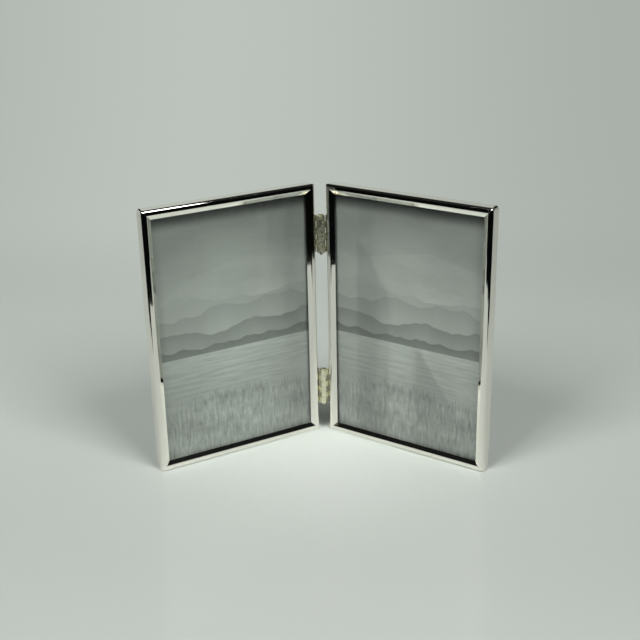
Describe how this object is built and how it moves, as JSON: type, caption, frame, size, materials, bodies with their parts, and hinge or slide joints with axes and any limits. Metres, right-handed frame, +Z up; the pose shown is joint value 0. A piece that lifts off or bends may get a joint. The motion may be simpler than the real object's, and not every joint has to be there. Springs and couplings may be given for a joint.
{
  "type": "hinged double photo frame",
  "caption": "Hinged double photo frame: polished metal frames with glass and velvet backs, joined by brass butt hinges, standing open like a book.",
  "frame": {"origin": "on the resting surface, at the middle of the base of the box round the frames as they stand open", "axes": "+Z up along the hinge pins; -Y towards the viewer, so the pictures face -Y; +X to the viewer's right"},
  "size_m": [0.1944, 0.061, 0.158],
  "materials": {
    "silver_plate": "mirror polished",
    "hinge_brass": "dulled brass",
    "clear_glass": "polished",
    "photo_paper": "satin print",
    "card": "matte",
    "hardboard": "matte hardboard",
    "velvet": "short velvet pile",
    "tab_steel": "nickel plated steel"
  },
  "bodies": {
    "left_frame": {"left_top_rail": "silver_plate", "left_bottom_rail": "silver_plate", "left_outer_stile": "silver_plate", "left_hinge_stile": "silver_plate", "left_glass": "clear_glass", "left_print": "photo_paper", "left_backing_card": "card", "left_back_board": "hardboard", "left_velvet_back": "velvet", "left_tab_rivets": "tab_steel", "left_hinge_rivets": "hinge_brass", "upper_hinge_left_leaf": "hinge_brass", "upper_hinge_pin": "hinge_brass", "lower_hinge_left_leaf": "hinge_brass", "lower_hinge_pin": "hinge_brass"},
    "right_frame": {"right_top_rail": "silver_plate", "right_bottom_rail": "silver_plate", "right_outer_stile": "silver_plate", "right_hinge_stile": "silver_plate", "right_glass": "clear_glass", "right_print": "photo_paper", "right_backing_card": "card", "right_back_board": "hardboard", "right_velvet_back": "velvet", "right_tab_rivets": "tab_steel", "right_hinge_rivets": "hinge_brass", "upper_hinge_right_leaf": "hinge_brass", "lower_hinge_right_leaf": "hinge_brass"},
    "left_tab_outer_low": {"left_tab_outer_low": "tab_steel"},
    "left_tab_outer_high": {"left_tab_outer_high": "tab_steel"},
    "left_tab_hinge_low": {"left_tab_hinge_low": "tab_steel"},
    "left_tab_hinge_high": {"left_tab_hinge_high": "tab_steel"},
    "right_tab_outer_low": {"right_tab_outer_low": "tab_steel"},
    "right_tab_outer_high": {"right_tab_outer_high": "tab_steel"},
    "right_tab_hinge_low": {"right_tab_hinge_low": "tab_steel"},
    "right_tab_hinge_high": {"right_tab_hinge_high": "tab_steel"}
  },
  "joints": [
    {"name": "book_fold", "type": "hinge", "parent": "left_frame", "child": "right_frame", "pos_m": [0, 0.02443, 0.079], "axis": [0, 0, 1], "range_deg": [-117.4, 82.6]},
    {"name": "left_tab_outer_low_turn", "type": "hinge", "parent": "left_frame", "child": "left_tab_outer_low", "pos_m": [-0.08913, -0.02069, 0.0395], "axis": [0.5195, -0.8545, 0], "continuous": true},
    {"name": "left_tab_outer_high_turn", "type": "hinge", "parent": "left_frame", "child": "left_tab_outer_high", "pos_m": [-0.08913, -0.02069, 0.1185], "axis": [0.5195, -0.8545, 0], "continuous": true},
    {"name": "left_tab_hinge_low_turn", "type": "hinge", "parent": "left_frame", "child": "left_tab_hinge_low", "pos_m": [-0.01394, 0.02503, 0.0395], "axis": [0.5195, -0.8545, 0], "continuous": true},
    {"name": "left_tab_hinge_high_turn", "type": "hinge", "parent": "left_frame", "child": "left_tab_hinge_high", "pos_m": [-0.01394, 0.02503, 0.1185], "axis": [0.5195, -0.8545, 0], "continuous": true},
    {"name": "right_tab_outer_low_turn", "type": "hinge", "parent": "right_frame", "child": "right_tab_outer_low", "pos_m": [0.08913, -0.02069, 0.0395], "axis": [-0.5195, -0.8545, 0], "continuous": true},
    {"name": "right_tab_outer_high_turn", "type": "hinge", "parent": "right_frame", "child": "right_tab_outer_high", "pos_m": [0.08913, -0.02069, 0.1185], "axis": [-0.5195, -0.8545, 0], "continuous": true},
    {"name": "right_tab_hinge_low_turn", "type": "hinge", "parent": "right_frame", "child": "right_tab_hinge_low", "pos_m": [0.01394, 0.02503, 0.0395], "axis": [-0.5195, -0.8545, 0], "continuous": true},
    {"name": "right_tab_hinge_high_turn", "type": "hinge", "parent": "right_frame", "child": "right_tab_hinge_high", "pos_m": [0.01394, 0.02503, 0.1185], "axis": [-0.5195, -0.8545, 0], "continuous": true}
  ]
}
